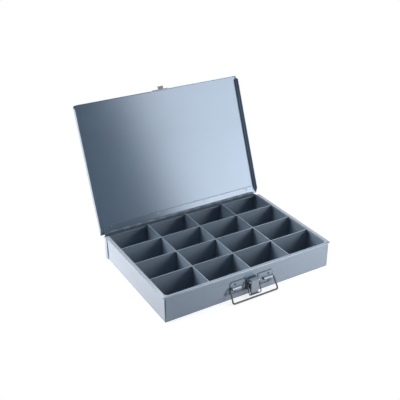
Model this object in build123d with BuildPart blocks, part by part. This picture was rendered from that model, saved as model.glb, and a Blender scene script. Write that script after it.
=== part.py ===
from build123d import *
from math import acos, asin, cos, hypot, radians, sin
import os

os.makedirs("parts", exist_ok=True)

# Compartment storage box: a folded steel case with a fixed grid of dividers, a flanged lid on a
# full-length hinge, a draw latch with a wire loop, and a wire carrying handle.
# Millimetres. X runs along the front, Y from front to back, Z up. The origin is the centre of
# the base underside. The lid stands open, the latch hangs down and the handle rests low.

# Case
CASE_WIDTH = 333.2
CASE_DEPTH = 235.0
CASE_HEIGHT = 49.7
SHEET = 0.8
BASE_BEND = 2.0
CORNER_BEND = 2.2
CORNER_SLIT = 0.8
CORNER_SLIT_INSET = 0.9
CORNER_SLIT_TOP = 45.5
RIM_WIDTH = 3.6
REAR_RIM_WIDTH = 6.9
RIM_LIP = 2.6
HEM_OVERHANG = 3.2
HEM_ROUND = 0.7
HEM_TIP = 0.9
OPENING_CORNER = 7.5
RIM_REAR_CUT = 12.5
BACK_DROP = 3.6
BACK_BEND = 1.2
BACK_TOP_BEND = 1.6
WRAP_TAB = 11.0
TAB_CORNER = 3.0
WELD_GAP = 0.05

# Dividers
COLUMNS = 4
ROWS = 4
DIVIDER_SHEET = 0.9
DIVIDER_DROP = 1.0
DIVIDER_GAP = 0.15
DIVIDER_FOOT = 1.8
SLOT_GAP = 0.1

# Hinge
KNUCKLE_COUNT = 26
HINGE_INSET = 1.5
KNUCKLE_GAP = 0.3
KNUCKLE_RADIUS = 2.0
KNUCKLE_SIDES = 16
TURNING_GAP = 0.3
HINGE_PIN_RADIUS = 1.2
PIN_CLEARANCE = 0.05
LEAF_SHEET = 0.8
LEAF_WIDTH = 14.0
LEAF_NOTCH_GAP = 0.5

# Lid
LID_OPEN_ANGLE = 111.0
LID_GAP = 0.3
LID_SIDE_GAP = 2.5
LID_FRONT_GAP = 0.6
LID_REAR_EDGE = -2.0
LID_BEND = 1.6
LID_CORNER = 4.0
SIDE_FLANGE = 9.4
FRONT_FLANGE = 13.0
FLANGE_TAPER = 12.0
FLANGE_CHAMFER = 8.0

# Lid catch
CATCH_SHEET = 1.0
CATCH_PLATE_WIDTH = 30.0
CATCH_PLATE_HEIGHT = 8.6
CATCH_HOOK_WIDTH = 10.8
CATCH_REACH = 6.5
CATCH_DROP = 8.0
CATCH_TIP_RISE = 3.4

# Sheet of the latch base and handle brackets, and the rivets through them
HARDWARE_SHEET = 1.2
RIVET_RADIUS = 1.2
RIVET_HEAD_RADIUS = 2.1
RIVET_HEAD_HEIGHT = 0.9
RIVET_TAIL = 0.5
RIVET_SIDES = 16

# Wire of the handle and the latch loop
WIRE_SIDES = 12

# Wire handle and its brackets
HANDLE_WIRE_RADIUS = 1.5
HANDLE_WIDTH = 88.6
HANDLE_SPLAY = 1.8
HANDLE_LEG = 24.0
HANDLE_END = 18.0
HANDLE_BEND = 3.2
HANDLE_FLOOR_GAP = 0.15
HANDLE_PIVOT_HEIGHT = 22.5
HANDLE_PLAY = 0.3
BRACKET_INNER = 12.7
BRACKET_OUTER = 44.0
BRACKET_BOTTOM = 12.0
BRACKET_TOP = 35.3
BRACKET_INNER_ROUND = 10.0
BRACKET_OUTER_ROUND = 4.5
BRACKET_LOW_ROUND = 3.0
STRAP_SHEET = 0.9
STRAP_START = 23.5
STRAP_END = 40.8
BRACKET_RIVET_X = 34.0
BRACKET_RIVET_HIGH = 30.0
BRACKET_RIVET_LOW = 15.7

# Draw latch
LATCH_BASE_MARGIN = 0.6
LATCH_BASE_ROUND = 2.5
LATCH_BASE_BOTTOM = 9.0
LATCH_BASE_TOP = 33.5
LATCH_EAR_GAP = 0.3
LATCH_PIVOT_OUT = 7.5
LATCH_PIVOT_HEIGHT = 28.5
LATCH_PIN_RADIUS = 1.2
LATCH_PIN_HEAD_RADIUS = 2.0
LATCH_PIN_HEAD_LENGTH = 0.8
LATCH_EAR_ROUND = 2.8
LATCH_RIVET_X = 5.5
LATCH_RIVET_HEIGHT = 16.5
LEVER_SHEET = 0.8
LEVER_WIDTH = 16.4
LEVER_FRONT = 11.8
LEVER_TOP = 33.0
LEVER_BOTTOM = 4.5
LEVER_BEND = 2.5
LEVER_SIDE_DEPTH = 8.2
LEVER_SIDE_LENGTH = 13.8
LEVER_TAPER = 6.0
LEVER_EDGE_DEPTH = 2.2
LOOP_WIRE_RADIUS = 0.9
LOOP_WIDTH = 26.0
LOOP_BEND = 2.6
LOOP_PIVOT_OUT = 6.5
LOOP_PIVOT_HEIGHT = 23.5
LOOP_END_GAP = 0.5
LOOP_REST_GAP = 0.3
LOOP_SEAT_GAP = 0.15

# Places that follow from the sizes above
case_front = -CASE_DEPTH / 2
case_rear = CASE_DEPTH / 2
case_side = CASE_WIDTH / 2
shell_rear = case_rear - BACK_BEND
rim_side = case_side - RIM_WIDTH
opening_front = case_front + RIM_WIDTH
opening_rear = case_rear - REAR_RIM_WIDTH
rim_rear = case_rear - RIM_REAR_CUT
back_top = CASE_HEIGHT - BACK_DROP
column_pitch = 2 * rim_side / COLUMNS
row_pitch = (opening_rear - opening_front) / ROWS
divider_top = CASE_HEIGHT - DIVIDER_DROP
divider_middle = (SHEET + divider_top) / 2

hinge_seat = KNUCKLE_RADIUS + TURNING_GAP
hinge_y = case_rear + hinge_seat
hinge_z = CASE_HEIGHT + LID_GAP - hinge_seat
hinge_length = CASE_WIDTH - 2 * HINGE_INSET
knuckle_pitch = hinge_length / KNUCKLE_COUNT
hinge_point = (0, hinge_y, hinge_z)
lean = radians(LID_OPEN_ANGLE - 90)
lid_along = (0, sin(lean), cos(lean))
lid_inward = (0, -cos(lean), sin(lean))
lid_width = CASE_WIDTH + 2 * (HEM_OVERHANG + LID_SIDE_GAP + SHEET)
lid_length = hinge_y - case_front + LID_FRONT_GAP + SHEET
panel_depth = -hinge_seat

handle_y = case_front - HARDWARE_SHEET - HANDLE_PLAY - HANDLE_WIRE_RADIUS
handle_drop = HANDLE_PIVOT_HEIGHT - HANDLE_FLOOR_GAP - HANDLE_WIRE_RADIUS
handle_lean = acos(handle_drop / HANDLE_LEG)

latch_pivot_y = case_front - LATCH_PIVOT_OUT
loop_pivot_y = case_front - LOOP_PIVOT_OUT
catch_arm_top = hinge_z - CATCH_DROP + CATCH_SHEET
catch_face = case_front - LID_FRONT_GAP - SHEET - CATCH_SHEET
catch_tip_back = case_front - LID_FRONT_GAP - SHEET - CATCH_REACH + CATCH_SHEET
hooked_y = (catch_face + catch_tip_back) / 2
hooked_z = catch_arm_top + LOOP_SEAT_GAP + LOOP_WIRE_RADIUS
loop_reach = hypot(hooked_y - loop_pivot_y, hooked_z - LOOP_PIVOT_HEIGHT)
loop_out = LEVER_FRONT + LOOP_REST_GAP + LOOP_WIRE_RADIUS - LOOP_PIVOT_OUT
loop_lean = asin(loop_out / loop_reach)

# Working planes: the case's front face, the lid's inner side, and sections square to X
front_face = Plane(origin=(0, case_front, 0), x_dir=(1, 0, 0), z_dir=(0, -1, 0))
lid_plane = Plane(origin=hinge_point, x_dir=(1, 0, 0), z_dir=lid_inward)
lid_section = Plane(origin=hinge_point, x_dir=lid_along, z_dir=(1, 0, 0))


def case_block(inset):
    """Outline of the case as a block, drawn in by inset at the base, front, ends and top."""
    width = CASE_WIDTH - 2 * inset
    front = case_front + inset
    length = shell_rear - front + inset
    height = CASE_HEIGHT - 2 * inset
    with BuildPart() as block:
        with BuildSketch(Plane.XY.offset(inset)) as plan:
            with Locations((0, front)):
                Rectangle(width, length, align=(Align.CENTER, Align.MIN))
            fillet(plan.vertices().group_by(Axis.Y)[0], CORNER_BEND - inset)
        extrude(amount=height)
        with BuildSketch(Plane.YZ) as side:
            with Locations((front, inset)):
                Rectangle(length, height, align=(Align.MIN, Align.MIN))
            front_corners = side.vertices().group_by(Axis.X)[0]
            fillet(front_corners.sort_by(Axis.Y)[-1], RIM_WIDTH - inset)
            front_corners = side.vertices().group_by(Axis.X)[0]
            fillet(front_corners.sort_by(Axis.Y)[0], BASE_BEND - inset)
        extrude(amount=CASE_WIDTH, both=True, mode=Mode.INTERSECT)
        with BuildSketch(Plane.XZ) as end:
            with Locations((0, inset)):
                Rectangle(width, height, align=(Align.CENTER, Align.MIN))
            fillet(end.vertices().group_by(Axis.Y)[0], BASE_BEND - inset)
        extrude(amount=CASE_DEPTH, both=True, mode=Mode.INTERSECT)
    return block.part


def opening_outline(grow):
    """Plan of the case's mouth, grown outward, with rounded front corners and an open rear."""
    with BuildSketch() as outline:
        with Locations((0, opening_front - grow)):
            Rectangle(2 * (rim_side + grow), CASE_DEPTH, align=(Align.CENTER, Align.MIN))
        fillet(outline.vertices().group_by(Axis.Y)[0], OPENING_CORNER + grow)
    return outline.sketch


def bracket_places(side):
    """Centres on the front face of one handle bracket's rivets."""
    x = side * BRACKET_RIVET_X
    return [(x, BRACKET_RIVET_LOW), (x, BRACKET_RIVET_HIGH)]


def latch_places(side):
    """Centre on the front face of the rivet at one side of the latch base."""
    return [(side * LATCH_RIVET_X, LATCH_RIVET_HEIGHT)]


def rivet_places():
    """Centres on the front face of the rivets through the brackets and the latch base."""
    places = []
    for side in (-1, 1):
        places += bracket_places(side) + latch_places(side)
    return places


# Case shell: base, front wall with a rolled top, end walls with a hemmed rim cut back at its tips
with BuildPart() as case_shell:
    add(case_block(0))
    add(case_block(SHEET), mode=Mode.SUBTRACT)
    with BuildSketch(Plane.XY.offset(CASE_HEIGHT)):
        add(opening_outline(0))
    extrude(amount=-2 * SHEET, mode=Mode.SUBTRACT)
    with BuildSketch(Plane.XY.offset(CASE_HEIGHT - SHEET)):
        add(opening_outline(SHEET))
        add(opening_outline(0), mode=Mode.SUBTRACT)
        with Locations((0, rim_rear)):
            Rectangle(2 * CASE_WIDTH, CASE_DEPTH, align=(Align.CENTER, Align.MIN), mode=Mode.SUBTRACT)
    extrude(amount=-RIM_LIP)
    hem_start = case_front + WELD_GAP
    for side in (-1, 1):
        hem_middle = side * (case_side + (HEM_OVERHANG - SHEET) / 2)
        with BuildSketch(Plane.XZ.offset(-hem_start)) as hem:
            with Locations((hem_middle, CASE_HEIGHT)):
                Rectangle(HEM_OVERHANG + SHEET, 2 * SHEET, align=(Align.CENTER, Align.MAX))
            outer_corners = hem.vertices().sort_by(Axis.X)
            fillet(outer_corners[-2:] if side > 0 else outer_corners[:2], HEM_ROUND)
        extrude(amount=-(rim_rear - hem_start))
        hem_edge = side * (case_side + HEM_OVERHANG)
        with BuildSketch(Plane.XY.offset(CASE_HEIGHT)):
            with BuildLine():
                Polyline(
                    (hem_edge, hem_start),
                    (hem_edge - side * HEM_TIP, hem_start),
                    (hem_edge, hem_start + HEM_TIP),
                    close=True,
                )
            make_face()
        extrude(amount=-2 * SHEET, mode=Mode.SUBTRACT)
    with BuildSketch(Plane.XY.offset(back_top)):
        with Locations((0, rim_rear)):
            Rectangle(2 * CASE_WIDTH, CASE_DEPTH, align=(Align.CENTER, Align.MIN))
    extrude(amount=CASE_HEIGHT, mode=Mode.SUBTRACT)
    with BuildSketch(front_face.offset(SHEET)):
        with Locations(*rivet_places()):
            Circle(RIVET_RADIUS + PIN_CLEARANCE)
        for side in (-1, 1):
            with Locations((side * (case_side - CORNER_SLIT_INSET - CORNER_SLIT / 2), BASE_BEND)):
                Rectangle(CORNER_SLIT, CORNER_SLIT_TOP - BASE_BEND, align=(Align.CENTER, Align.MIN))
    extrude(amount=-3 * SHEET, mode=Mode.SUBTRACT)
case_shell.part.label = "case_shell"
export_step(case_shell.part, "parts/case_shell.step")


# Back panel: rear wall with tabs wrapped round the ends and a lowered flange under the hinge
tab_inner = case_side + WELD_GAP
tab_outer = tab_inner + SHEET
with BuildPart() as back_panel:
    with BuildSketch() as wrap:
        with Locations((0, case_rear)):
            Rectangle(2 * tab_outer, WRAP_TAB, align=(Align.CENTER, Align.MAX))
        fillet(wrap.vertices().group_by(Axis.Y)[-1], BACK_BEND)
        with BuildSketch(mode=Mode.SUBTRACT) as hollow:
            with Locations((0, case_rear - SHEET)):
                Rectangle(2 * tab_inner, 2 * WRAP_TAB, align=(Align.CENTER, Align.MAX))
            fillet(hollow.vertices().group_by(Axis.Y)[-1], BACK_BEND - SHEET)
    extrude(amount=back_top - BACK_TOP_BEND)
    with BuildSketch(Plane.YZ) as flange:
        with Locations((case_rear, back_top)):
            Rectangle(REAR_RIM_WIDTH, RIM_LIP + SHEET, align=(Align.MAX, Align.MAX))
        fillet(flange.vertices().group_by(Axis.X)[-1].sort_by(Axis.Y)[-1], BACK_TOP_BEND)
        with BuildSketch(mode=Mode.SUBTRACT) as hollow:
            with Locations((case_rear - SHEET, back_top - SHEET)):
                Rectangle(REAR_RIM_WIDTH - 2 * SHEET, 2 * RIM_LIP, align=(Align.MAX, Align.MAX))
            fillet(hollow.vertices().group_by(Axis.X)[-1].sort_by(Axis.Y)[-1], BACK_TOP_BEND - SHEET)
    extrude(amount=case_side - SHEET - WELD_GAP, both=True)
    tab_edges = back_panel.edges().filter_by(Axis.X).group_by(Axis.Y)[0]
    fillet(tab_edges.group_by(Axis.Z)[-1], TAB_CORNER)
back_panel.part.label = "back_panel"
export_step(back_panel.part, "parts/back_panel.step")


# Dividers: strips slotted into each other, notched at their ends to pass under the rim lips
notch_foot = CASE_HEIGHT - SHEET - RIM_LIP - 2 * DIVIDER_GAP
back_notch_foot = back_top - SHEET - RIM_LIP - 2 * DIVIDER_GAP
slot_width = DIVIDER_SHEET + 2 * SLOT_GAP
column_lines = [(i - COLUMNS / 2) * column_pitch for i in range(1, COLUMNS)]
row_lines = [opening_front + j * row_pitch for j in range(1, ROWS)]


def row_divider(y):
    """Strip along X at the given depth, with slots open at the top."""
    with BuildPart() as strip:
        with BuildSketch(Plane.XZ.offset(-y)) as face:
            half = case_side - SHEET - DIVIDER_GAP
            with Locations((0, SHEET)):
                Rectangle(2 * half, notch_foot - SHEET, align=(Align.CENTER, Align.MIN))
            chamfer(face.vertices().group_by(Axis.Y)[0], DIVIDER_FOOT)
            with Locations((0, notch_foot)):
                Rectangle(2 * (rim_side - DIVIDER_GAP), divider_top - notch_foot,
                          align=(Align.CENTER, Align.MIN))
            with Locations(*[(x, divider_middle) for x in column_lines]):
                Rectangle(slot_width, CASE_HEIGHT, align=(Align.CENTER, Align.MIN), mode=Mode.SUBTRACT)
        extrude(amount=DIVIDER_SHEET / 2, both=True)
    return strip


def column_divider(x):
    """Strip along Y at the given place, with slots open at the bottom."""
    with BuildPart() as strip:
        with BuildSketch(Plane.YZ.offset(x)) as face:
            front = case_front + SHEET + DIVIDER_GAP
            rear = case_rear - SHEET - DIVIDER_GAP
            foot = SHEET
            with Locations(((front + rear) / 2, foot)):
                Rectangle(rear - front, back_notch_foot - foot, align=(Align.CENTER, Align.MIN))
            chamfer(face.vertices().group_by(Axis.Y)[0], DIVIDER_FOOT)
            with Locations((front, back_notch_foot)):
                Rectangle(opening_rear - DIVIDER_GAP - front, notch_foot - back_notch_foot,
                          align=(Align.MIN, Align.MIN))
            with Locations((opening_front + DIVIDER_GAP, notch_foot)):
                Rectangle(opening_rear - opening_front - 2 * DIVIDER_GAP, divider_top - notch_foot,
                          align=(Align.MIN, Align.MIN))
            with Locations(*[(y, divider_middle + SLOT_GAP) for y in row_lines]):
                Rectangle(slot_width, CASE_HEIGHT, align=(Align.CENTER, Align.MAX), mode=Mode.SUBTRACT)
        extrude(amount=DIVIDER_SHEET / 2, both=True)
    return strip


for number, y in enumerate(row_lines, 1):
    strip = row_divider(y)
    strip.part.label = f"row_divider_{number}"
    export_step(strip.part, f"parts/row_divider_{number}.step")
for number, x in enumerate(column_lines, 1):
    strip = column_divider(x)
    strip.part.label = f"column_divider_{number}"
    export_step(strip.part, f"parts/column_divider_{number}.step")


def knuckle_centre(i):
    """Place along X of one knuckle of the hinge."""
    return (i + 0.5) * knuckle_pitch - hinge_length / 2


def hinge_leaf(toward_axis, first):
    """Leaf seated just clear of the knuckles on one side of the axis, with every second knuckle.

    The knuckles are many-sided, so that so many of them stay light.
    """
    seat = Plane(origin=hinge_point, x_dir=(1, 0, 0), z_dir=toward_axis)
    own = [knuckle_centre(i) for i in range(first, KNUCKLE_COUNT, 2)]
    others = [knuckle_centre(i) for i in range(1 - first, KNUCKLE_COUNT, 2)]
    notch = KNUCKLE_RADIUS + LEAF_NOTCH_GAP
    with BuildPart() as leaf:
        with BuildSketch(seat.offset(-hinge_seat)):
            Rectangle(hinge_length - KNUCKLE_GAP, LEAF_WIDTH, align=(Align.CENTER, Align.MIN))
            with Locations(*[(x, 0) for x in others]):
                Rectangle(knuckle_pitch + KNUCKLE_GAP, 2 * notch, mode=Mode.SUBTRACT)
        extrude(amount=LEAF_SHEET)
        for x in own:
            start = x - (knuckle_pitch - KNUCKLE_GAP) / 2
            with BuildSketch(Plane(origin=(start, hinge_y, hinge_z), x_dir=(0, 1, 0), z_dir=(1, 0, 0))):
                RegularPolygon(KNUCKLE_RADIUS, KNUCKLE_SIDES)
            extrude(amount=knuckle_pitch - KNUCKLE_GAP)
        with BuildSketch(Plane.YZ.offset(-hinge_length / 2)):
            with Locations((hinge_y, hinge_z)):
                RegularPolygon(HINGE_PIN_RADIUS + PIN_CLEARANCE, KNUCKLE_SIDES, major_radius=False)
        extrude(amount=hinge_length, mode=Mode.SUBTRACT)
    return leaf


hinge_leaf_case = hinge_leaf((0, 1, 0), 0)
hinge_leaf_case.part.label = "hinge_leaf_case"
export_step(hinge_leaf_case.part, "parts/hinge_leaf_case.step")

hinge_leaf_lid = hinge_leaf(lid_inward, 1)
hinge_leaf_lid.part.label = "hinge_leaf_lid"
export_step(hinge_leaf_lid.part, "parts/hinge_leaf_lid.step")

with BuildPart() as hinge_pin:
    with BuildSketch(Plane.YZ.offset(-hinge_length / 2)):
        with Locations((hinge_y, hinge_z)):
            Circle(HINGE_PIN_RADIUS)
    extrude(amount=hinge_length)
hinge_pin.part.label = "hinge_pin"
export_step(hinge_pin.part, "parts/hinge_pin.step")


# Lid panel: a shallow folded tray with mitred front corners and flange ends cut back at the hinge
flange_root = panel_depth - SHEET


def lid_block(inset):
    """Outline of the lid as a block from the hinge edge, drawn in by inset at the folds."""
    rear = LID_REAR_EDGE - inset
    with BuildPart() as block:
        with BuildSketch(lid_plane.offset(flange_root + inset)) as plan:
            with Locations((0, rear)):
                Rectangle(lid_width - 2 * inset, lid_length - inset - rear,
                          align=(Align.CENTER, Align.MIN))
            fillet(plan.vertices().sort_by(Axis.Y)[-2:], LID_CORNER - inset)
        extrude(amount=SIDE_FLANGE)
        skin = block.faces().sort_by(Axis(hinge_point, lid_inward))[0]
        folds = skin.edges().sort_by(Axis(hinge_point, lid_along))[1:]
        fillet(folds, LID_BEND - inset)
    return block.part


lid_inner_side = lid_width / 2 - SHEET
side_edge = flange_root + SIDE_FLANGE
front_edge = flange_root + FRONT_FLANGE
with BuildPart() as lid_panel:
    add(lid_block(0))
    add(lid_block(SHEET), mode=Mode.SUBTRACT)
    for start in (-lid_width / 2 - 1, lid_inner_side - LID_CORNER / 2):
        with BuildSketch(lid_section.offset(start)):
            with BuildLine():
                Polyline(
                    (-SIDE_FLANGE, panel_depth + SHEET / 2),
                    (LID_REAR_EDGE, panel_depth + SHEET / 2),
                    (LID_REAR_EDGE + FLANGE_TAPER, side_edge + SHEET),
                    (-SIDE_FLANGE, side_edge + SHEET),
                    close=True,
                )
            make_face()
            with BuildLine():
                Polyline(
                    (lid_length + SHEET, panel_depth + LID_BEND),
                    (lid_length - LID_CORNER, panel_depth + LID_BEND),
                    (lid_length - FLANGE_CHAMFER, side_edge + SHEET),
                    (lid_length + SHEET, side_edge + SHEET),
                    close=True,
                )
            make_face()
        extrude(amount=LID_CORNER / 2 + SHEET + 1, mode=Mode.SUBTRACT)
    with BuildSketch(lid_plane.offset(front_edge)):
        with Locations((0, lid_length - LID_CORNER)):
            Rectangle(lid_width - 2 * LID_CORNER, 2 * LID_CORNER, align=(Align.CENTER, Align.MIN))
    extrude(amount=SIDE_FLANGE, mode=Mode.SUBTRACT)
lid_panel.part.label = "lid_panel"
export_step(lid_panel.part, "parts/lid_panel.step")


# Lid catch: plate welded on the front flange, with a hooked arm that faces the panel
with BuildPart() as lid_catch:
    with BuildSketch(lid_section):
        with Locations((lid_length, CATCH_DROP)):
            Rectangle(CATCH_SHEET, CATCH_PLATE_HEIGHT, align=(Align.MIN, Align.MAX))
    extrude(amount=CATCH_PLATE_WIDTH / 2, both=True)
    with BuildSketch(lid_section) as hook:
        with Locations((lid_length, CATCH_DROP)):
            Rectangle(CATCH_REACH, CATCH_SHEET + CATCH_TIP_RISE, align=(Align.MIN, Align.MAX))
        with Locations((lid_length + CATCH_SHEET, CATCH_DROP - CATCH_SHEET)):
            Rectangle(CATCH_REACH - 2 * CATCH_SHEET, CATCH_DROP, align=(Align.MIN, Align.MAX),
                      mode=Mode.SUBTRACT)
    extrude(amount=CATCH_HOOK_WIDTH / 2, both=True)
lid_catch.part.label = "lid_catch"
export_step(lid_catch.part, "parts/lid_catch.step")


# Rivets through the front wall: flat many-sided heads outside, short tails inside
grip = HARDWARE_SHEET + SHEET + RIVET_TAIL
with BuildPart() as front_rivets:
    for x, z in rivet_places():
        seat = Plane(origin=(x, case_front - HARDWARE_SHEET, z), x_dir=(1, 0, 0), z_dir=(0, -1, 0))
        with BuildSketch(seat):
            RegularPolygon(RIVET_HEAD_RADIUS, RIVET_SIDES)
        extrude(amount=RIVET_HEAD_HEIGHT)
        with BuildSketch(seat):
            RegularPolygon(RIVET_RADIUS, RIVET_SIDES)
        extrude(amount=-grip)
front_rivets.part.label = "front_rivets"
export_step(front_rivets.part, "parts/front_rivets.step")


def bracket(side):
    """Plate on the front wall with a half-round strap that holds one end of the wire handle."""
    tunnel = HANDLE_WIRE_RADIUS + HANDLE_PLAY
    with BuildPart() as plate:
        with BuildSketch(front_face) as outline:
            with Locations((side * (BRACKET_INNER + BRACKET_OUTER) / 2, BRACKET_BOTTOM)):
                Rectangle(BRACKET_OUTER - BRACKET_INNER, BRACKET_TOP - BRACKET_BOTTOM,
                          align=(Align.CENTER, Align.MIN))
            corners = outline.vertices().sort_by(lambda v: side * v.X + v.Y)
            outward = outline.vertices().sort_by(lambda v: side * v.X - v.Y)
            rounds = ((corners[-1], BRACKET_OUTER_ROUND), (outward[0], BRACKET_INNER_ROUND),
                      (corners[0], BRACKET_LOW_ROUND), (outward[-1], BRACKET_LOW_ROUND))
            for corner, radius in rounds:
                fillet(corner, radius)
        extrude(amount=HARDWARE_SHEET)
        strap_start = min(side * STRAP_START, side * STRAP_END)
        with BuildSketch(Plane.YZ.offset(strap_start)):
            with Locations((handle_y, HANDLE_PIVOT_HEIGHT)):
                Circle(tunnel + STRAP_SHEET)
                Rectangle(tunnel + HARDWARE_SHEET / 2, 2 * (tunnel + STRAP_SHEET),
                          align=(Align.MIN, Align.CENTER))
        extrude(amount=STRAP_END - STRAP_START)
        with BuildSketch(Plane.YZ.offset(strap_start)):
            with Locations((handle_y, HANDLE_PIVOT_HEIGHT)):
                Circle(tunnel)
                Rectangle(tunnel, 2 * tunnel, align=(Align.MIN, Align.CENTER))
        extrude(amount=STRAP_END - STRAP_START, mode=Mode.SUBTRACT)
        with BuildSketch(front_face.offset(HARDWARE_SHEET)):
            with Locations(*bracket_places(side)):
                Circle(RIVET_RADIUS + PIN_CLEARANCE)
        extrude(amount=-HARDWARE_SHEET, mode=Mode.SUBTRACT)
    return plate


for side, name in ((-1, "handle_bracket_left"), (1, "handle_bracket_right")):
    plate = bracket(side)
    plate.part.label = name
    export_step(plate.part, f"parts/{name}.step")


def wire_bow(width, splay, reach, angle, pivot, end, bend, radius):
    """Wire bow whose legs spread by splay toward the bar, with its ends turned in at the pivot.

    The wire is many-sided, so that its bends stay light.
    """
    x = width / 2 - radius
    y = pivot[0] - reach * sin(angle)
    z = pivot[1] - reach * cos(angle)
    with BuildPart() as bow:
        with BuildLine() as path:
            FilletPolyline(
                (-x, pivot[0], pivot[1]),
                (-x - splay, y, z),
                (x + splay, y, z),
                (x, pivot[0], pivot[1]),
                radius=bend,
            )
        with BuildSketch(Plane(origin=path.line @ 0, z_dir=path.line % 0)):
            RegularPolygon(radius, WIRE_SIDES)
        sweep(path=path.line)
        for start in (-x - radius, end):
            with BuildSketch(Plane.YZ.offset(start)):
                with Locations(pivot):
                    RegularPolygon(radius, WIRE_SIDES)
            extrude(amount=x + radius - end)
    return bow


wire_handle = wire_bow(HANDLE_WIDTH + 2 * HANDLE_WIRE_RADIUS, HANDLE_SPLAY, HANDLE_LEG, handle_lean,
                       (handle_y, HANDLE_PIVOT_HEIGHT), HANDLE_WIDTH / 2 - HANDLE_END,
                       HANDLE_BEND, HANDLE_WIRE_RADIUS)
wire_handle.part.label = "wire_handle"
export_step(wire_handle.part, "parts/wire_handle.step")


# Latch base: plate on the front wall with a rounded ear at each side that holds the lever's pin
ear_inner = LEVER_WIDTH / 2 + LATCH_EAR_GAP
ear_outer = ear_inner + HARDWARE_SHEET
with BuildPart() as latch_base:
    with BuildSketch(front_face) as outline:
        with Locations((0, LATCH_BASE_BOTTOM)):
            Rectangle(2 * (ear_outer + LATCH_BASE_MARGIN), LATCH_BASE_TOP - LATCH_BASE_BOTTOM,
                      align=(Align.CENTER, Align.MIN))
        fillet(outline.vertices(), LATCH_BASE_ROUND)
    extrude(amount=HARDWARE_SHEET)
    for start in (-ear_outer, ear_inner):
        with BuildSketch(Plane.YZ.offset(start)):
            with Locations((latch_pivot_y, LATCH_PIVOT_HEIGHT)):
                Circle(LATCH_EAR_ROUND)
                Rectangle(LATCH_PIVOT_OUT - HARDWARE_SHEET / 2, 2 * LATCH_EAR_ROUND,
                          align=(Align.MIN, Align.CENTER))
                Circle(LATCH_PIN_RADIUS + PIN_CLEARANCE, mode=Mode.SUBTRACT)
        extrude(amount=HARDWARE_SHEET)
    with BuildSketch(front_face.offset(HARDWARE_SHEET)):
        with Locations(*latch_places(-1), *latch_places(1)):
            Circle(RIVET_RADIUS + PIN_CLEARANCE)
    extrude(amount=-HARDWARE_SHEET, mode=Mode.SUBTRACT)
latch_base.part.label = "latch_base"
export_step(latch_base.part, "parts/latch_base.step")


# Latch pin: plain shank with a flat head outside each ear
pin_half = ear_outer
with BuildPart() as latch_pin:
    with BuildSketch(Plane.YZ):
        with Locations((latch_pivot_y, LATCH_PIVOT_HEIGHT)):
            Circle(LATCH_PIN_RADIUS)
    extrude(amount=pin_half, both=True)
    for start in (-pin_half - LATCH_PIN_HEAD_LENGTH, pin_half):
        with BuildSketch(Plane.YZ.offset(start)):
            with Locations((latch_pivot_y, LATCH_PIVOT_HEIGHT)):
                Circle(LATCH_PIN_HEAD_RADIUS)
        extrude(amount=LATCH_PIN_HEAD_LENGTH)
latch_pin.part.label = "latch_pin"
export_step(latch_pin.part, "parts/latch_pin.step")


# Latch lever: a channel open toward the wall, with a closed top and tapered sides
lever_face = case_front - LEVER_FRONT
lever_back = lever_face + LEVER_SIDE_DEPTH
side_foot = LEVER_TOP - LEVER_SIDE_LENGTH
with BuildPart() as latch_lever:
    with BuildSketch(Plane.XY.offset(LEVER_BOTTOM)) as plan:
        with Locations((0, lever_face)):
            Rectangle(LEVER_WIDTH, LEVER_SIDE_DEPTH, align=(Align.CENTER, Align.MIN))
        fillet(plan.vertices().group_by(Axis.Y)[0], LEVER_BEND)
    extrude(amount=LEVER_TOP - LEVER_BOTTOM)
    with BuildSketch(Plane.XY.offset(LEVER_BOTTOM)) as plan:
        with Locations((0, lever_face + LEVER_SHEET)):
            Rectangle(LEVER_WIDTH - 2 * LEVER_SHEET, LEVER_SIDE_DEPTH, align=(Align.CENTER, Align.MIN))
        fillet(plan.vertices().group_by(Axis.Y)[0], LEVER_BEND - LEVER_SHEET)
    extrude(amount=LEVER_TOP - LEVER_SHEET - LEVER_BOTTOM, mode=Mode.SUBTRACT)
    with BuildSketch(Plane.YZ):
        with BuildLine():
            Polyline(
                (lever_back + LEVER_SHEET, side_foot),
                (lever_back, side_foot),
                (lever_face + LEVER_EDGE_DEPTH, side_foot - LEVER_TAPER),
                (lever_face + LEVER_EDGE_DEPTH, LEVER_BOTTOM - LEVER_SHEET),
                (lever_back + LEVER_SHEET, LEVER_BOTTOM - LEVER_SHEET),
                close=True,
            )
        make_face()
        with Locations((latch_pivot_y, LATCH_PIVOT_HEIGHT)):
            Circle(LATCH_PIN_RADIUS + PIN_CLEARANCE)
        with Locations((loop_pivot_y, LOOP_PIVOT_HEIGHT)):
            Circle(LOOP_WIRE_RADIUS + PIN_CLEARANCE)
    extrude(amount=LEVER_WIDTH, both=True, mode=Mode.SUBTRACT)
latch_lever.part.label = "latch_lever"
export_step(latch_lever.part, "parts/latch_lever.step")

latch_loop = wire_bow(LOOP_WIDTH, 0, loop_reach, loop_lean, (loop_pivot_y, LOOP_PIVOT_HEIGHT),
                      LEVER_WIDTH / 2 - LEVER_SHEET - LOOP_END_GAP, LOOP_BEND, LOOP_WIRE_RADIUS)
latch_loop.part.label = "latch_loop"
export_step(latch_loop.part, "parts/latch_loop.step")
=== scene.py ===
import bpy
from math import cos, hypot, pi, radians, sin
from mathutils import Matrix, Vector


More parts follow.
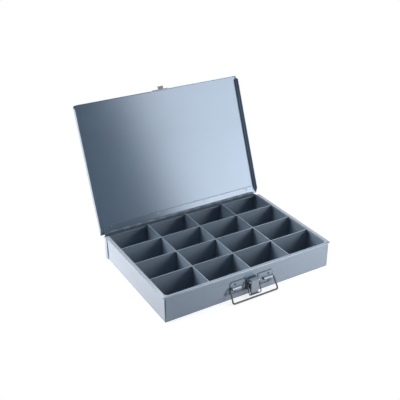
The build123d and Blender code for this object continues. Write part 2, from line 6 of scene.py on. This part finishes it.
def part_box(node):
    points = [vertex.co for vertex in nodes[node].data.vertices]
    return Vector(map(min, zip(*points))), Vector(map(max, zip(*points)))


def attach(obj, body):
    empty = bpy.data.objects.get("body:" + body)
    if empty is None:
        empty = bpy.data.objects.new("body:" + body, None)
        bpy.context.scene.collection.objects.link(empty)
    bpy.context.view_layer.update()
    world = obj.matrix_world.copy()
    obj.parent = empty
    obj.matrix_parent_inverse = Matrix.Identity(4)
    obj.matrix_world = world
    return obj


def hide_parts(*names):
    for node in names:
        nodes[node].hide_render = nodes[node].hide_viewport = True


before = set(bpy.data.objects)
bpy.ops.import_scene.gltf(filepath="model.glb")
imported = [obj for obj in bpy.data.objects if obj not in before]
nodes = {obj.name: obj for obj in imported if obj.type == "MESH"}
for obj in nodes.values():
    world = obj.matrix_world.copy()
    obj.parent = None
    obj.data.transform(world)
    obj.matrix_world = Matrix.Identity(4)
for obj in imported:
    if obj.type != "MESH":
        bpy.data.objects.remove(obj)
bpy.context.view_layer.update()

# The hinge's axis in Y and Z, and how far from it its knuckles reach
HINGE_AXIS = (0.1198, 0.0477)
BARREL_REACH = 0.0026

# The front wall's outer face, its sheet, the fittings' sheet and the faces that bound the inside
FRONT = -0.1175
WALL = 0.0008
PLATE = 0.0012
SIDE_INSIDE = 0.16582
REAR_INSIDE = 0.1168
UNDER_RIM = 0.0487
REAR_LEDGE = 0.108
SLACK = 0.00001

# Where the latch's loop pivots in its lever
LOOP_PIVOT_Y = -0.1240

# The open lid's directions: up along it from the hinge, and out of its inner side
LEAN = radians(21)
LID_ALONG = Vector((0, sin(LEAN), cos(LEAN)))
LID_INWARD = Vector((0, -cos(LEAN), sin(LEAN)))
TO_FRONT = Vector((0, -1, 0))
UPWARD = Vector((0, 0, 1))

# Camera: the photograph's viewpoint, in metres
FORWARD = Vector((0.45027849, 0.76590028, -0.45896192))
UP = Vector((0.23557984, 0.39390047, 0.88845065))
RIGHT = FORWARD.cross(UP)
CAMERA_PLACE = (-0.58007, -0.93250, 0.69438)
SENSOR_WIDTH_MM = 36.0
LENS_MM = 63.172
camera_data = bpy.data.cameras.new("camera")
camera_data.sensor_width = SENSOR_WIDTH_MM
camera_data.lens = LENS_MM
camera_data.clip_end = 20.0
camera = bpy.data.objects.new("camera", camera_data)
bpy.context.scene.collection.objects.link(camera)
turn = Matrix((RIGHT, UP, -FORWARD)).transposed().to_4x4()
camera.matrix_world = Matrix.Translation(CAMERA_PLACE) @ turn
bpy.context.scene.camera = camera


def math_node(tree, operation, first, second=0.0):
    node = tree.nodes.new("ShaderNodeMath")
    node.operation = operation
    for value, socket in ((first, node.inputs[0]), (second, node.inputs[1])):
        if isinstance(value, (int, float)):
            socket.default_value = value
        else:
            tree.links.new(value, socket)
    return node.outputs["Value"]


def step_node(tree, value, start, end, low=0.0, high=1.0):
    node = tree.nodes.new("ShaderNodeMapRange")
    node.interpolation_type = "SMOOTHSTEP"
    node.inputs["From Min"].default_value = start
    node.inputs["From Max"].default_value = end
    node.inputs["To Min"].default_value = low
    node.inputs["To Max"].default_value = high
    tree.links.new(value, node.inputs["Value"])
    return node.outputs["Result"]


class Material:
    """A node material being built, with short calls for its nodes and links."""

    def __init__(self, name):
        self.material = bpy.data.materials.new(name)
        self.material.use_nodes = True
        self.tree = self.material.node_tree
        self.shader = self.tree.nodes["Principled BSDF"]
        coordinates = self.tree.nodes.new("ShaderNodeTexCoord")
        self.place = coordinates.outputs["Object"]

    def link(self, output, socket):
        self.tree.links.new(output, socket)

    def noise(self, scale, detail=3.0, rough=0.5, stretch=(1, 1, 1)):
        mapping = self.tree.nodes.new("ShaderNodeMapping")
        mapping.inputs["Scale"].default_value = stretch
        self.link(self.place, mapping.inputs["Vector"])
        node = self.tree.nodes.new("ShaderNodeTexNoise")
        node.inputs["Scale"].default_value = scale
        node.inputs["Detail"].default_value = detail
        node.inputs["Roughness"].default_value = rough
        self.link(mapping.outputs["Vector"], node.inputs["Vector"])
        return node.outputs["Fac"]

    def ramp(self, factor, stops):
        node = self.tree.nodes.new("ShaderNodeValToRGB")
        elements = node.color_ramp.elements
        while len(elements) < len(stops):
            elements.new(0.5)
        for element, (position, colour) in zip(elements, stops):
            element.position = position
            element.color = (*colour, 1.0)
        self.link(factor, node.inputs["Fac"])
        return node.outputs["Color"]

    def spread(self, factor, low, high):
        node = self.tree.nodes.new("ShaderNodeMapRange")
        node.inputs["To Min"].default_value = low
        node.inputs["To Max"].default_value = high
        self.link(factor, node.inputs["Value"])
        return node.outputs["Result"]

    def mix(self, factor, first, second):
        node = self.tree.nodes.new("ShaderNodeMix")
        node.data_type = "RGBA"
        self.link(factor, node.inputs["Factor"])
        for value, socket in ((first, node.inputs["A"]), (second, node.inputs["B"])):
            if isinstance(value, tuple):
                socket.default_value = (*value, 1.0)
            else:
                self.link(value, socket)
        return node.outputs["Result"]

    def bump(self, height, strength, distance):
        node = self.tree.nodes.new("ShaderNodeBump")
        node.inputs["Strength"].default_value = strength
        node.inputs["Distance"].default_value = distance
        self.link(height, node.inputs["Height"])
        self.link(node.outputs["Normal"], self.shader.inputs["Normal"])

    def edges(self, sharpest, softest):
        geometry = self.tree.nodes.new("ShaderNodeNewGeometry")
        node = self.tree.nodes.new("ShaderNodeMapRange")
        node.inputs["From Min"].default_value = softest
        node.inputs["From Max"].default_value = sharpest
        self.link(geometry.outputs["Pointiness"], node.inputs["Value"])
        return node.outputs["Result"]


def enamel(name, colour, roughness, metallic=0.25, gloss_level=1.0, coat=0.6):
    """Baked blue-grey enamel: faint mottling, a fine orange-peel skin and worn, paler edges."""
    made = Material(name)
    dark = tuple(c * 0.95 for c in colour)
    light = tuple(min(1.0, c * 1.04) for c in colour)
    worn = tuple(min(1.0, c * 1.25 + 0.03) for c in colour)
    mottle = made.ramp(made.noise(14.0, 4.0, 0.55), [(0.3, dark), (0.7, light)])
    made.link(made.mix(made.edges(0.62, 0.54), mottle, worn), made.shader.inputs["Base Color"])
    gloss = made.noise(55.0, 3.0, 0.6)
    made.link(made.spread(gloss, roughness * 0.9, roughness * 1.1), made.shader.inputs["Roughness"])
    made.shader.inputs["Metallic"].default_value = metallic
    made.shader.inputs["Specular IOR Level"].default_value = gloss_level
    made.shader.inputs["Coat Weight"].default_value = coat
    made.shader.inputs["Coat Roughness"].default_value = 0.12
    made.shader.inputs["Coat IOR"].default_value = 1.6
    made.bump(made.noise(900.0, 2.0, 0.5), 0.06, 0.00005)
    return made.material


def drawn_wire(name, colour, roughness):
    """Drawn steel wire: dull grey, with fine marks along its length."""
    made = Material(name)
    dark = tuple(c * 0.75 for c in colour)
    light = tuple(min(1.0, c * 1.25) for c in colour)
    marks = made.noise(420.0, 4.0, 0.6, (0.15, 1, 1))
    made.link(made.ramp(marks, [(0.3, dark), (0.7, light)]), made.shader.inputs["Base Color"])
    made.link(made.spread(marks, roughness * 0.85, roughness * 1.2), made.shader.inputs["Roughness"])
    made.shader.inputs["Metallic"].default_value = 0.85
    made.bump(made.noise(1600.0, 3.0, 0.6, (0.2, 1, 1)), 0.2, 0.00005)
    return made.material


# Glossy outside and satin inside; several copies below are lighter or darker as painted light and shade
SATIN = {"metallic": 0.0, "gloss_level": 0.2, "coat": 0.0}
MATT = {"metallic": 0.0, "gloss_level": 0.25, "coat": 0.0}
ROLLED = {"metallic": 0.0, "gloss_level": 0.4, "coat": 0.0}
ROLLED_BRIGHT = {"metallic": 0.0, "gloss_level": 0.7, "coat": 0.0}
case_enamel = enamel("case_enamel", (0.196, 0.262, 0.350), 0.17)
# The lid and the hinge leaves take darker copies of the case enamel: painted shade, a little less on the
# leaves
lid_shade_enamel = enamel("lid_shade_enamel", (0.096, 0.158, 0.242), 0.15)
leaf_shade_enamel = enamel("leaf_shade_enamel", (0.120, 0.186, 0.274), 0.11)
# Lighter copies for the rim's top faces: painted light from above, strongest on the left rim
rim_lit_enamel = enamel("rim_lit_enamel", (0.290, 0.350, 0.415), 0.24)
left_rim_lit_enamel = enamel("left_rim_lit_enamel", (0.48, 0.54, 0.60), 0.24)
inside_enamel = enamel("inside_enamel", (0.178, 0.230, 0.294), 0.42, **SATIN)
# A lighter copy of the inside enamel for the right end wall's inner face: painted light
right_inside_lit_enamel = enamel("right_inside_lit_enamel", (0.258, 0.329, 0.414), 0.42, **SATIN)
# A lighter copy for the dividers' top edges: painted light from above
top_lit_enamel = enamel("top_lit_enamel", (0.46, 0.53, 0.61), 0.34)
# Darker copies near the hinge: painted shade along the barrel, a little lighter on the lid's knuckles
barrel_shade_enamel = enamel("barrel_shade_enamel", (0.078, 0.112, 0.156), 0.45, **ROLLED)
knuckle_shade_enamel = enamel("knuckle_shade_enamel", (0.098, 0.140, 0.194), 0.38, **ROLLED_BRIGHT)
shaded_enamel = enamel("shaded_enamel", (0.026, 0.042, 0.062), 0.50, **MATT)
plate_enamel = enamel("plate_enamel", (0.158, 0.210, 0.275), 0.16, metallic=0.42, coat=0.75)
fitting_enamel = enamel("fitting_enamel", (0.175, 0.230, 0.300), 0.17)
catch_steel = drawn_wire("catch_steel", (0.135, 0.140, 0.147), 0.50)
wire_steel = drawn_wire("wire_steel", (0.080, 0.088, 0.102), 0.38)
pin_steel = drawn_wire("pin_steel", (0.20, 0.21, 0.23), 0.34)
rivet_steel = drawn_wire("rivet_steel", (0.10, 0.12, 0.15), 0.40)

FINISHES = {
    "case_shell": case_enamel,
    "back_panel": case_enamel,
    "hinge_leaf_case": leaf_shade_enamel,
    "hinge_leaf_lid": leaf_shade_enamel,
    "lid_panel": lid_shade_enamel,
    "lid_catch": catch_steel,
    "handle_bracket_left": plate_enamel,
    "handle_bracket_right": plate_enamel,
    "front_rivets": rivet_steel,
    "latch_base": plate_enamel,
    "latch_lever": fitting_enamel,
    "latch_loop": wire_steel,
    "latch_pin": pin_steel,
    "hinge_pin": pin_steel,
    "wire_handle": wire_steel,
}


# Other finishes, for the faces of a node that a test of place and direction picks
# Faces near the hinge axis, which take the darker knuckle enamels as painted shade
def near_hinge(place, normal):
    return hypot(place.y - HINGE_AXIS[0], place.z - HINGE_AXIS[1]) < BARREL_REACH


def inside_case(place, normal):
    return (abs(place.x) < SIDE_INSIDE and FRONT + WALL - SLACK < place.y < REAR_INSIDE
            and WALL - SLACK < place.z < UNDER_RIM)


# Edges of the plates, which take the shaded enamel as painted shade
def plate_edge(place, normal):
    return abs(normal.y) < 0.4 and place.y > FRONT - PLATE - SLACK


# Sides and back of the lever, which take the shaded enamel as painted shade
def lever_sides_and_back(place, normal):
    return abs(normal.x) > 0.8 or normal.y > 0.2


# Top of the rear wall's ledge beside the hinge, which takes the shaded enamel as painted shade under the
# lid
def rear_ledge(place, normal):
    return normal.z > 0.3 and place.y > REAR_LEDGE


# Upper edge of the lid's hinge leaf, which takes the lighter rim enamel as painted light
def leaf_end(place, normal):
    return normal.dot(LID_ALONG) > 0.8


# Top faces of the rim, which take the lighter rim enamels as painted light
def rim_top(place, normal):
    return normal.z > 0.9 and place.z > UNDER_RIM


def left_rim(place, normal):
    return rim_top(place, normal) and place.x < -SIDE_INSIDE + 0.002


# Inner face of the right end wall, which takes the lighter copy as painted light
def right_inside(place, normal):
    return inside_case(place, normal) and normal.x < -0.9


def sheet_top(place, normal):
    return normal.z > 0.9 and place.z > UNDER_RIM - 0.0002


OTHER_FINISHES = {
    "case_shell": [
        (right_inside_lit_enamel, right_inside), (inside_enamel, inside_case),
        (left_rim_lit_enamel, left_rim), (rim_lit_enamel, rim_top),
    ],
    "back_panel": [(shaded_enamel, rear_ledge), (inside_enamel, inside_case)],
    "hinge_leaf_case": [(barrel_shade_enamel, near_hinge)],
    "hinge_leaf_lid": [(knuckle_shade_enamel, near_hinge), (rim_lit_enamel, leaf_end)],
    "handle_bracket_left": [(shaded_enamel, plate_edge)],
    "handle_bracket_right": [(shaded_enamel, plate_edge)],
    "latch_base": [(shaded_enamel, plate_edge)],
    "latch_lever": [(shaded_enamel, lever_sides_and_back)],
}
# The dividers' tops take the lighter enamel as painted light
for i in range(1, 4):
    OTHER_FINISHES[f"row_divider_{i}"] = [(top_lit_enamel, sheet_top)]
    OTHER_FINISHES[f"column_divider_{i}"] = [(top_lit_enamel, sheet_top)]

# The dividers have no line in FINISHES: they are satin, as the inside is
for name, piece in nodes.items():
    piece.data.materials.clear()
    piece.data.materials.append(FINISHES.get(name, inside_enamel))
    others = OTHER_FINISHES.get(name, [])
    for other, test in others:
        piece.data.materials.append(other)
    for polygon in piece.data.polygons:
        hits = [i for i, (other, test) in enumerate(others, 1) if test(polygon.center, polygon.normal)]
        polygon.material_index = hits[0] if hits else 0


def build(name, vertices, faces, material, body, slot, smooth=True):
    """A mesh piece in the object's frame that rides on a body, with one finish. The slot is not used."""
    mesh = bpy.data.meshes.new(name)
    mesh.from_pydata(vertices, [], faces)
    mesh.update()
    for polygon in mesh.polygons:
        polygon.use_smooth = smooth
    mesh.materials.append(material)
    piece = bpy.data.objects.new(name, mesh)
    bpy.context.scene.collection.objects.link(piece)
    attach(piece, body)
    return piece


def rounded(corners, bend, steps=7):
    """Points along straight runs joined by arcs of radius bend."""
    points = [corners[0]]
    for before, corner, after in zip(corners, corners[1:], corners[2:]):
        back = (before - corner).normalized()
        ahead = (after - corner).normalized()
        half = back.angle(ahead) / 2
        start = corner + back * bend * cos(half) / sin(half)
        end = corner + ahead * bend * cos(half) / sin(half)
        centre = corner + (back + ahead).normalized() * bend / sin(half)
        for i in range(steps + 1):
            arm = (start - centre).lerp(end - centre, i / steps)
            points.append(centre + arm.normalized() * bend)
    points.append(corners[-1])
    return points


def tube(points, radius, sides=20):
    """Vertices and faces of a round wire along a path, with flat ends."""
    vertices = []
    faces = []
    across = None
    count = len(points)
    for i, point in enumerate(points):
        run = points[min(i + 1, count - 1)] - points[max(i - 1, 0)]
        run.normalize()
        if across is None:
            across = run.orthogonal().normalized()
        across = (across - run * across.dot(run)).normalized()
        beside = run.cross(across)
        for k in range(sides):
            turn_by = 2 * pi * k / sides
            vertices.append(point + (across * cos(turn_by) + beside * sin(turn_by)) * radius)
    for i in range(count - 1):
        for k in range(sides):
            near, far = i * sides, (i + 1) * sides
            faces.append((near + k, near + (k + 1) % sides, far + (k + 1) % sides, far + k))
    faces.append(tuple(range(sides))[::-1])
    faces.append(tuple(range((count - 1) * sides, count * sides)))
    return vertices, faces


def wire_bow(name, node, body, radius, splay, bend, elbow, tucked, pivot_y=None):
    """Round wire bow in the place of a many-sided one, read from that node's box.

    splay is how much wider it is at its bar than at its pivot on each side, bend and elbow are the
    radii of its bends, and tucked is how far from the middle its two ends stop.
    """
    low, high = (Vector(corner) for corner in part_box(node))
    if pivot_y is None:
        pivot_y = high.y - radius
    pivot_z = high.z - radius
    bar_y, bar_z = low.y + radius, low.z + radius
    wide = high.x - radius
    narrow = wide - splay
    corners = [
        Vector((-tucked, pivot_y, pivot_z)), Vector((-narrow, pivot_y, pivot_z)),
        Vector((-wide, bar_y, bar_z)), Vector((wide, bar_y, bar_z)),
        Vector((narrow, pivot_y, pivot_z)), Vector((tucked, pivot_y, pivot_z)),
    ]
    left_elbow = rounded(corners[:3], elbow)[:-1]
    bar = rounded(corners[1:5], bend)[1:-1]
    right_elbow = rounded(corners[3:], elbow)[1:]
    points = left_elbow + bar + right_elbow
    piece = build(name, *tube(points, radius), wire_steel, body, "wire")
    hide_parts(node)
    return piece


wire_bow(
    "handle_wire", "wire_handle", "handle",
    radius=0.0015, splay=0.0018, bend=0.0032, elbow=0.0018, tucked=0.0263,
)
wire_bow(
    "loop_wire", "latch_loop", "loop",
    radius=0.0009, splay=0.0, bend=0.0026, elbow=0.0012, tucked=0.0069, pivot_y=LOOP_PIVOT_Y,
)


def turned(centre, axis, profile, sides=24):
    """Vertices and faces of a turned form, from (radius, height) pairs from its rim to its top."""
    across = axis.orthogonal().normalized()
    beside = axis.cross(across)
    vertices = []
    faces = []
    for radius, height in profile:
        for k in range(sides):
            turn_by = 2 * pi * k / sides
            arm = across * cos(turn_by) + beside * sin(turn_by)
            vertices.append(centre + arm * radius + axis * height)
    for i in range(len(profile) - 1):
        for k in range(sides):
            near, far = i * sides, (i + 1) * sides
            faces.append((near + k, near + (k + 1) % sides, far + (k + 1) % sides, far + k))
    faces.append(tuple(range((len(profile) - 1) * sides, len(profile) * sides)))
    faces.append(tuple(range(sides))[::-1])
    return vertices, faces


def joined(forms):
    """Several lists of vertices and faces as one."""
    all_vertices = []
    all_faces = []
    for vertices, faces in forms:
        all_faces += [tuple(index + len(all_vertices) for index in face) for face in faces]
        all_vertices += vertices
    return all_vertices, all_faces


def strip(middle, widths, along, outward, thickness):
    """Thin tapered strip: its middle points, their half widths, and the ways across and out of its face."""
    vertices = []
    faces = []
    for point, half in zip(middle, widths):
        for lift in (0.0, thickness):
            vertices += [point - along * half + outward * lift, point + along * half + outward * lift]
    for i in range(len(middle) - 1):
        near, far = 4 * i, 4 * i + 4
        for one, two in ((0, 1), (1, 3), (3, 2), (2, 0)):
            faces.append((near + one, near + two, far + two, far + one))
    faces.append((0, 2, 3, 1))
    last = 4 * len(middle) - 4
    faces.append((last, last + 1, last + 3, last + 2))
    return vertices, faces


# Domed rivet heads on the plates, with their upset tails inside the front wall
DOME = [
    (0.0021, 0.0), (0.0021, 0.00025), (0.0019, 0.00055),
    (0.0015, 0.00075), (0.0009, 0.00086), (0.0003, 0.0009),
]
TAIL = [(0.0012, 0.0), (0.0012, 0.0002), (0.0010, 0.0004), (0.0005, 0.0005)]
BRACKET_RIVETS = ((-0.034, 0.0157), (-0.034, 0.030), (0.034, 0.0157), (0.034, 0.030))
LATCH_RIVETS = ((-0.0055, 0.0165), (0.0055, 0.0165))
rivet_forms = []
for x, z in BRACKET_RIVETS + LATCH_RIVETS:
    rivet_forms.append(turned(Vector((x, FRONT - PLATE, z)), TO_FRONT, DOME))
    rivet_forms.append(turned(Vector((x, FRONT + WALL, z)), -TO_FRONT, TAIL))
rivets = build("domed_rivets", *joined(rivet_forms), rivet_steel, "case", "fittings")
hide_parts("front_rivets")

# Spot welds pressed into the lid's hinge leaf, as shallow rings: places along X and shares of depth
WELD_RING = [(0.0024, 0.0), (0.0022, 0.00014), (0.0017, 0.00016), (0.0012, 0.00006), (0.0004, 0.00004)]
WELDS = ((-0.15, 0.4), (-0.05, 1.0), (0.05, 0.4), (0.15, 1.0))
WELDS_UP_LEAF = 0.0098
LEAF_FACE = Vector((0, *HINGE_AXIS)) - LID_INWARD * 0.0015
weld_forms = []
for x, share in WELDS:
    ring = [(radius, height * share) for radius, height in WELD_RING]
    weld_forms.append(turned(LEAF_FACE + LID_ALONG * WELDS_UP_LEAF + Vector((x, 0, 0)), LID_INWARD, ring))
build("leaf_welds", *joined(weld_forms), leaf_shade_enamel, "lid", "enamel")

# Dark strip along the upper edge of the lid's hinge leaf: painted shade at that edge
EDGE_SHADE_UP_LEAF = 0.0134
EDGE_SHADE_HALF_LENGTH = 0.1640
EDGE_SHADE_HALF_WIDTH = 0.0004
edge_shade_line = LEAF_FACE + LID_ALONG * EDGE_SHADE_UP_LEAF
edge_shade_ends = [edge_shade_line + Vector((x, 0, 0)) for x in (-EDGE_SHADE_HALF_LENGTH, EDGE_SHADE_HALF_LENGTH)]
edge_shade = strip(edge_shade_ends, [EDGE_SHADE_HALF_WIDTH] * 2, LID_ALONG, LID_INWARD, 0.0001)
build("leaf_edge_shade", *edge_shade, barrel_shade_enamel, "lid", "enamel", smooth=False)

# Dark strip at the root of the case's hinge leaf, between its knuckles: painted shade that closes the slits
# there
ROOT_SHADE_HALF_LENGTH = 0.1651
ROOT_SHADE_HALF_WIDTH = 0.0008
root_shade_ends = [Vector((x, 0.1181, 0.0457)) for x in (-ROOT_SHADE_HALF_LENGTH, ROOT_SHADE_HALF_LENGTH)]
root_shade = strip(root_shade_ends, [ROOT_SHADE_HALF_WIDTH] * 2, UPWARD, TO_FRONT, 0.0002)
build("hinge_root_shade", *root_shade, barrel_shade_enamel, "case", "enamel", smooth=False)

# Dark strip on each end wall where the rear tab's free edge stands off it: painted shade of that gap
GAP_POINTS = ((0.1068, 0.0415), (0.1056, 0.033), (0.1040, 0.022), (0.1025, 0.011), (0.1015, 0.0045))
GAP_HALF_WIDTHS = (0.0003, 0.0011, 0.0014, 0.0012, 0.0004)
END_WALL = 0.1666
for side, tag in ((-1, "left"), (1, "right")):
    middle = [Vector((side * END_WALL, y, z)) for y, z in GAP_POINTS]
    gap_shade = strip(middle, GAP_HALF_WIDTHS, Vector((0, 1, 0)), Vector((side, 0, 0)), 0.00012)
    build("tab_gap_shade_" + tag, *gap_shade, shaded_enamel, "case", "enamel", smooth=False)


# Studio: a large soft lamp at the right front, softer fills at the left and above, and a white floor.
# The gloss doesn't show the lamps: the world below has what it mirrors.
def area_light(name, place, target, size, power, colour=(1, 1, 1)):
    data = bpy.data.lights.new(name, "AREA")
    data.shape = "RECTANGLE"
    data.size, data.size_y = size
    data.energy = power
    data.color = colour
    light = bpy.data.objects.new(name, data)
    bpy.context.scene.collection.objects.link(light)
    light.location = place
    light.rotation_euler = (Vector(target) - Vector(place)).to_track_quat("-Z", "Y").to_euler()
    light.visible_glossy = False


area_light("key_panel", (1.06, -0.95, 0.60), (0.0, 0.0, 0.05), (0.8, 0.8), 13.3)
area_light("left_panel", (-1.55, 0.75, 0.80), (-0.1, 0.0, 0.05), (1.2, 1.0), 29.0, (0.96, 0.98, 1.0))
area_light("top_panel", (0.1, 0.2, 1.9), (0.0, 0.0, 0.0), (1.6, 1.2), 6.8)

floor_mesh = bpy.data.meshes.new("floor")
FLOOR_REACH = 6.0
floor_corners = [(x * FLOOR_REACH, y * FLOOR_REACH, 0) for x, y in ((-1, -1), (1, -1), (1, 1), (-1, 1))]
floor_mesh.from_pydata(floor_corners, [], [(0, 1, 2, 3)])
floor = bpy.data.objects.new("floor", floor_mesh)
bpy.context.scene.collection.objects.link(floor)
floor.location.z = -0.0002
paper = Material("floor_paper")
paper.link(
    paper.ramp(paper.noise(3.0), [(0.3, (0.90, 0.90, 0.90)), (0.7, (0.93, 0.93, 0.93))]),
    paper.shader.inputs["Base Color"],
)
paper.shader.inputs["Roughness"].default_value = 0.9
paper.shader.inputs["Specular IOR Level"].default_value = 0.1
paper.shader.inputs["Emission Color"].default_value = (1.0, 1.0, 1.0, 1.0)
paper.shader.inputs["Emission Strength"].default_value = 0.10


def paper_glow(strength):
    node = paper.tree.nodes.new("ShaderNodeEmission")
    if isinstance(strength, (int, float)):
        node.inputs["Strength"].default_value = strength
    else:
        paper.link(strength, node.inputs["Strength"])
    return node.outputs["Emission"]


def paper_blend(factor, first, second):
    node = paper.tree.nodes.new("ShaderNodeMixShader")
    paper.link(factor, node.inputs["Fac"])
    paper.link(first, node.inputs[1])
    paper.link(second, node.inputs[2])
    return node.outputs["Shader"]


# Seen straight, the paper turns white away from the object and keeps a faint shadow beside it;
# in the gloss it is dimmer toward the left front and brightest along the left side
distance = paper.tree.nodes.new("ShaderNodeVectorMath")
distance.operation = "LENGTH"
paper.link(paper.place, distance.inputs[0])
spot = paper.tree.nodes.new("ShaderNodeSeparateXYZ")
paper.link(paper.place, spot.inputs["Vector"])
sight = paper.tree.nodes.new("ShaderNodeLightPath")
camera_ray = sight.outputs["Is Camera Ray"]
LEAST_WHITE = 0.45
LIFT = 0.45
away = step_node(paper.tree, distance.outputs["Value"], 0.17, 0.32)
whiten = math_node(paper.tree, "MAXIMUM", away, LEAST_WHITE)
lifted = paper.tree.nodes.new("ShaderNodeAddShader")
paper.link(paper.shader.outputs["BSDF"], lifted.inputs[0])
paper.link(paper_glow(math_node(paper.tree, "MULTIPLY", camera_ray, LIFT)), lifted.inputs[1])
seen_white = math_node(paper.tree, "MULTIPLY", whiten, camera_ray)
straight = paper_blend(seen_white, lifted.outputs["Shader"], paper_glow(1.0))
along_front = step_node(paper.tree, spot.outputs["X"], -0.22, 0.24, 0.38, 1.45)
beside_left = step_node(paper.tree, spot.outputs["Y"], -0.16, 0.14, 1.32, 1.62)
# Shares of the floor at the left of the case's end wall and behind the line of its front
left_side = step_node(paper.tree, spot.outputs["X"], -0.155, -0.172)
behind_front = step_node(paper.tree, spot.outputs["Y"], -0.14, -0.11)
left_share = math_node(paper.tree, "MULTIPLY", left_side, behind_front)
front_share = math_node(paper.tree, "SUBTRACT", 1.0, left_share)
mirrored_light = math_node(
    paper.tree, "ADD",
    math_node(paper.tree, "MULTIPLY", along_front, front_share),
    math_node(paper.tree, "MULTIPLY", beside_left, left_share),
)
surface = paper_blend(sight.outputs["Is Glossy Ray"], straight, paper_glow(mirrored_light))
paper.link(surface, paper.tree.nodes["Material Output"].inputs["Surface"])
floor_mesh.materials.append(paper.material)

# World: plain light for the surfaces, white behind the object, and for what the gloss mirrors a
# dark room with a bright panel at the right front, another at the left and a pale ceiling
world = bpy.data.worlds.new("room")
bpy.context.scene.world = world
world.use_nodes = True
tree = world.node_tree
tree.nodes.clear()
direction = tree.nodes.new("ShaderNodeTexCoord")
parts = tree.nodes.new("ShaderNodeSeparateXYZ")
tree.links.new(direction.outputs["Generated"], parts.inputs["Vector"])
toward_front = math_node(tree, "MULTIPLY", parts.outputs["Y"], -1.0)
# Degrees: azimuth from the front, positive to the right, and height above the horizon
DEGREES = 180 / pi
around = math_node(tree, "ARCTAN2", parts.outputs["X"], toward_front)
azimuth = math_node(tree, "MULTIPLY", around, DEGREES)
height = math_node(tree, "MULTIPLY", math_node(tree, "ARCSINE", parts.outputs["Z"]), DEGREES)
PANEL = 4.0
CEILING = 1.5
LEFT_PANEL = 1.6
DARK_ROOM = 0.16
BACKDROP = 0.9
PANEL_EDGE_LEAN = 0.06
PANEL_FOOT = 1.12
PANEL_FADE = 0.17

# The panel's left edge leans a little, it ends at the right and above, and it is brightest low down
edge = math_node(tree, "ADD", azimuth, math_node(tree, "MULTIPLY", height, PANEL_EDGE_LEAN))
panel = math_node(tree, "MULTIPLY", step_node(tree, edge, 23.6, 28.0), step_node(tree, azimuth, 95.0, 75.0))
panel = math_node(tree, "MULTIPLY", panel, step_node(tree, height, 40.0, 27.0))
fade = math_node(tree, "MULTIPLY", step_node(tree, height, 9.0, 19.0), -PANEL_FADE)
panel = math_node(tree, "MULTIPLY", panel, math_node(tree, "ADD", PANEL_FOOT, fade))
backdrop = step_node(tree, math_node(tree, "ABSOLUTE", azimuth), 115.0, 135.0)
left_panel = step_node(tree, azimuth, -24.0, -40.0)
ceiling = step_node(tree, height, 26.0, 40.0)
light = math_node(tree, "MULTIPLY", panel, PANEL)
light = math_node(tree, "MAXIMUM", light, math_node(tree, "MULTIPLY", left_panel, LEFT_PANEL))
light = math_node(tree, "MAXIMUM", light, math_node(tree, "MULTIPLY", ceiling, CEILING))
light = math_node(tree, "MAXIMUM", light, math_node(tree, "MULTIPLY", backdrop, BACKDROP))
light = math_node(tree, "ADD", light, DARK_ROOM)
mirrored = tree.nodes.new("ShaderNodeBackground")
mirrored.inputs["Color"].default_value = (0.97, 0.985, 1.0, 1.0)
tree.links.new(light, mirrored.inputs["Strength"])
room = tree.nodes.new("ShaderNodeBackground")
room.inputs["Color"].default_value = (0.95, 0.98, 1.0, 1.0)
room.inputs["Strength"].default_value = 0.04
seen = tree.nodes.new("ShaderNodeBackground")
seen.inputs["Color"].default_value = (1, 1, 1, 1)
seen.inputs["Strength"].default_value = 1.0
path = tree.nodes.new("ShaderNodeLightPath")
gloss_blend = tree.nodes.new("ShaderNodeMixShader")
tree.links.new(path.outputs["Is Glossy Ray"], gloss_blend.inputs["Fac"])
tree.links.new(room.outputs["Background"], gloss_blend.inputs[1])
tree.links.new(mirrored.outputs["Background"], gloss_blend.inputs[2])
sight_blend = tree.nodes.new("ShaderNodeMixShader")
tree.links.new(path.outputs["Is Camera Ray"], sight_blend.inputs["Fac"])
tree.links.new(gloss_blend.outputs["Shader"], sight_blend.inputs[1])
tree.links.new(seen.outputs["Background"], sight_blend.inputs[2])
output = tree.nodes.new("ShaderNodeOutputWorld")
tree.links.new(sight_blend.outputs["Shader"], output.inputs["Surface"])

bpy.context.scene.view_settings.view_transform = "Standard"
